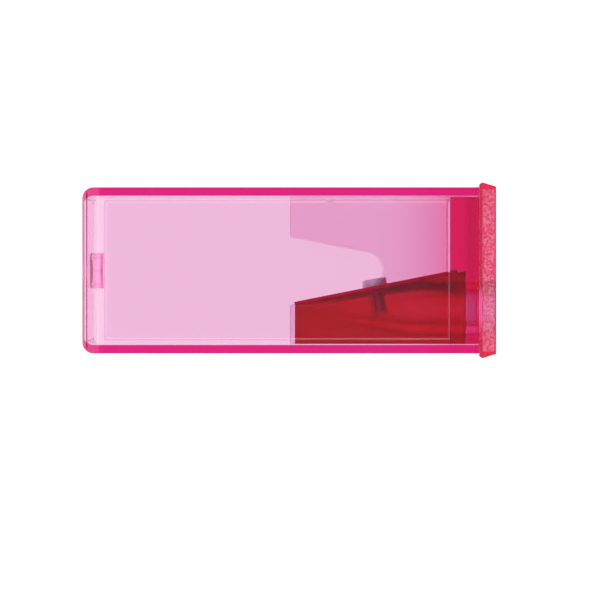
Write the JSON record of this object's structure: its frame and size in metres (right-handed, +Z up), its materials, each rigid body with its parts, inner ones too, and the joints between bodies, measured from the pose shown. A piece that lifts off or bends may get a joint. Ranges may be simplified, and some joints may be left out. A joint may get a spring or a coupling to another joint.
{
  "type": "pencil sharpener",
  "caption": "Flat pencil sharpener with a clear tinted shavings case and a pull-out end cap that carries a wedge, a blade and a pencil bore.",
  "frame": {"origin": "middle of the underside of the whole object's box, with the object lying on a large face", "axes": "+X along the length towards the end cap, +Y across the width away from the pencil bore, +Z up through the depth"},
  "size_m": [0.06, 0.0254, 0.0163],
  "materials": {
    "case_plastic": "clear, tinted pink, polished",
    "cap_plastic": "clear, tinted crimson, frosted on the cap's outside",
    "body_plastic": "clear, tinted deep red",
    "blade_steel": "ground",
    "screw_steel": "bright turned"
  },
  "bodies": {
    "case": {"case": "case_plastic"},
    "insert": {"end_cap": "cap_plastic", "sharpener_body": "body_plastic", "blade": "blade_steel"},
    "screw": {"blade_screw": "screw_steel"}
  },
  "joints": [
    {"name": "insert_slide", "type": "slide", "parent": "case", "child": "insert", "axis": [1, 0, 0], "range_m": [0, 0.03]},
    {"name": "screw_turn", "type": "hinge", "parent": "insert", "child": "screw", "pos_m": [0.01269, -0.00271, 0.01135], "axis": [-0.1951, 0.9808, 0], "range_deg": [0, 90]}
  ]
}
